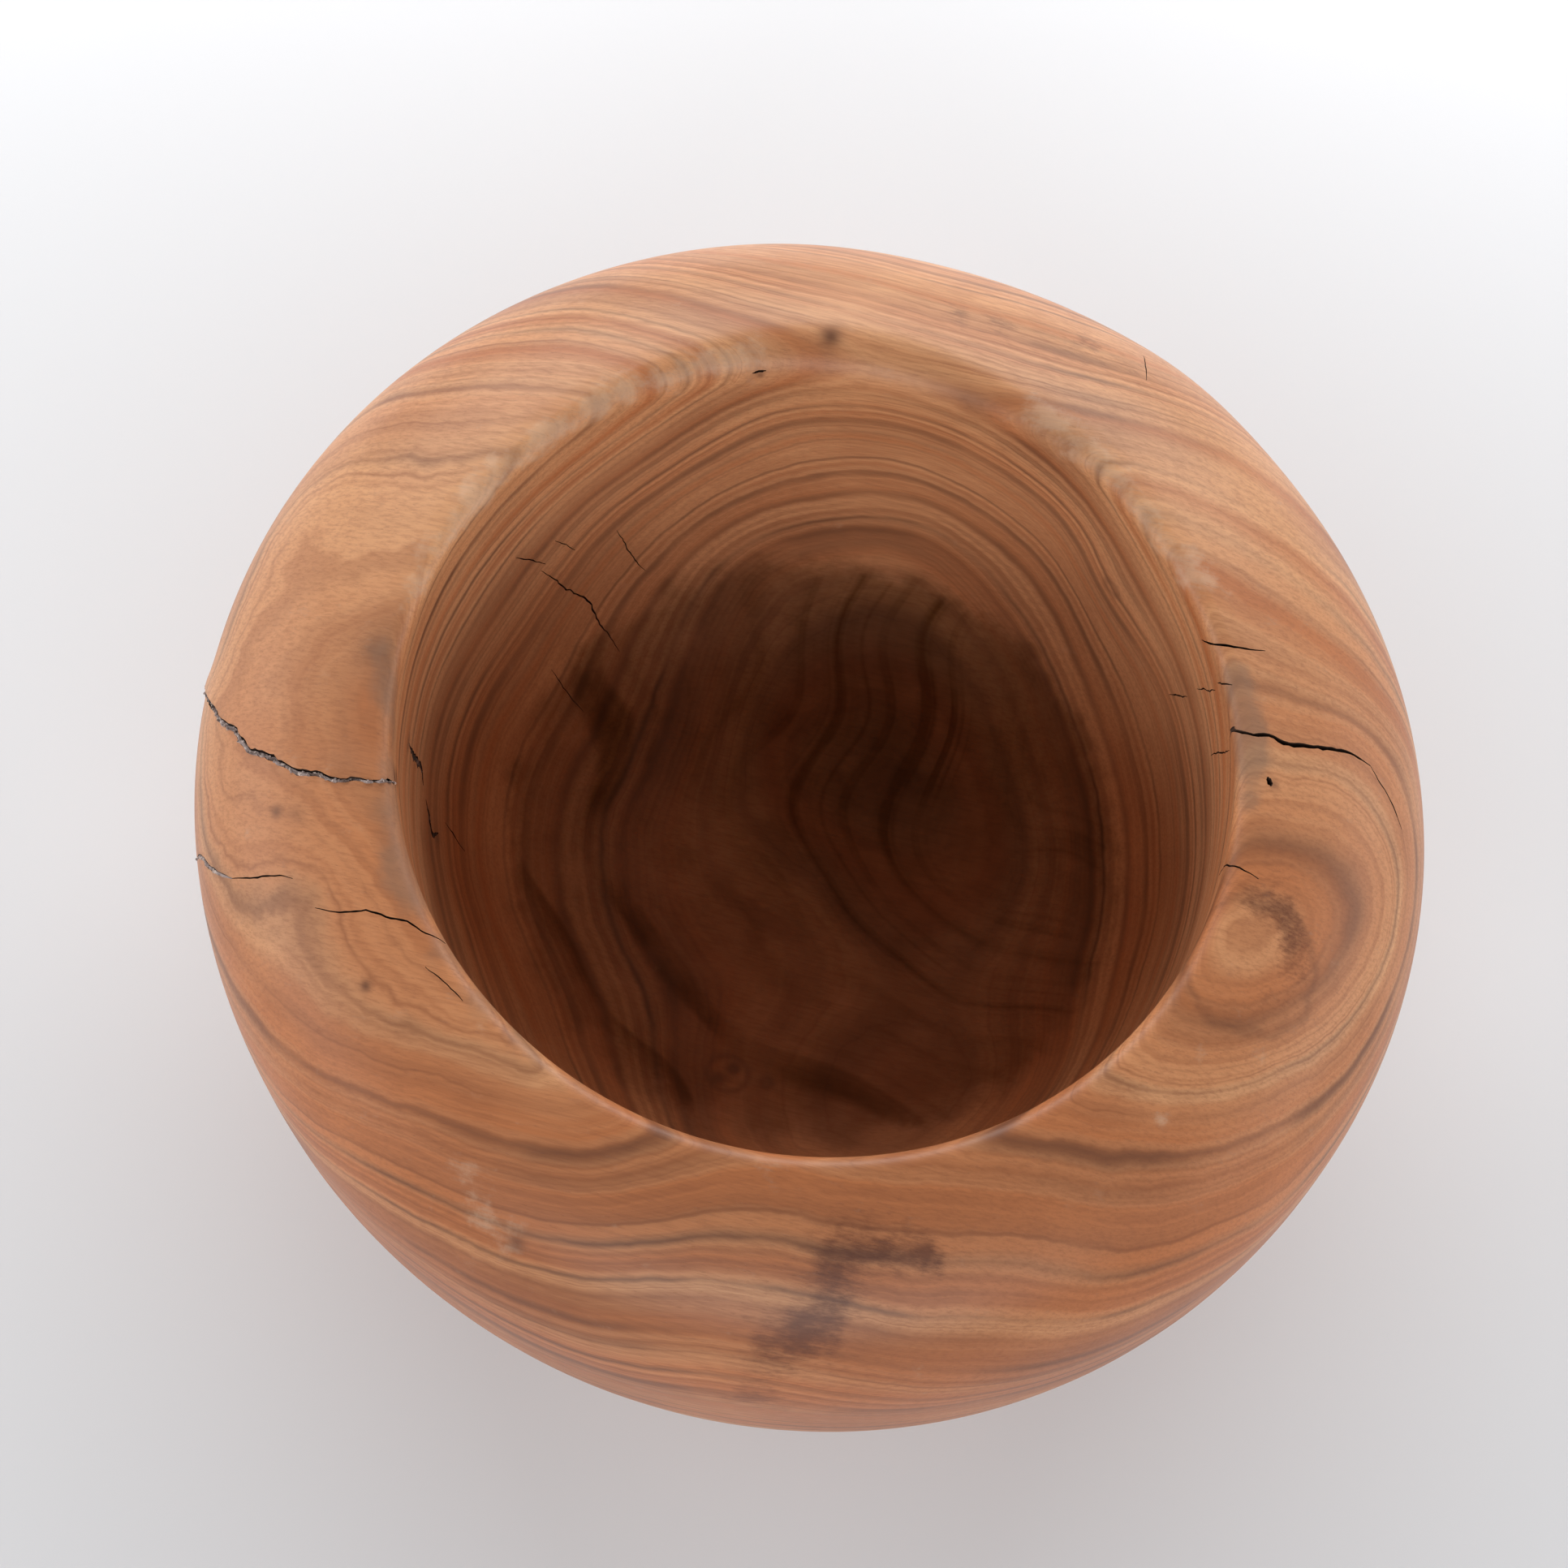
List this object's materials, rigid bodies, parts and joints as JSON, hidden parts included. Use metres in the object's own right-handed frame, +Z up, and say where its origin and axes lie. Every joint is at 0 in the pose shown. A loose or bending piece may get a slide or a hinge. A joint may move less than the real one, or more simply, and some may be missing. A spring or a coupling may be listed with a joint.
{
  "type": "yarn bowl",
  "caption": "Round turned wooden bowl with a thick rolled-in rim and a deep rounded hollow that keeps a ball of yarn from rolling away while knitting.",
  "frame": {"origin": "middle of the footprint on the plane that the foot stands on", "axes": "+Z is up out of the mouth; -Y is the front, with the stopped cracks on the -X side and the open cracks on the +X side"},
  "size_m": [0.1614, 0.1584, 0.0871],
  "materials": {
    "bowl_wood": "hand sanded and lightly oiled, satin",
    "grey_filler": "rough set glue mixed with sanding dust",
    "dark_filler": "rough dark set glue"
  },
  "bodies": {
    "root": {"bowl_body": "bowl_wood", "rim_crack_filler": "grey_filler", "flank_crack_filler": "grey_filler", "wall_crack_filler_upper": "dark_filler", "wall_crack_filler_lower": "dark_filler"}
  },
  "joints": []
}
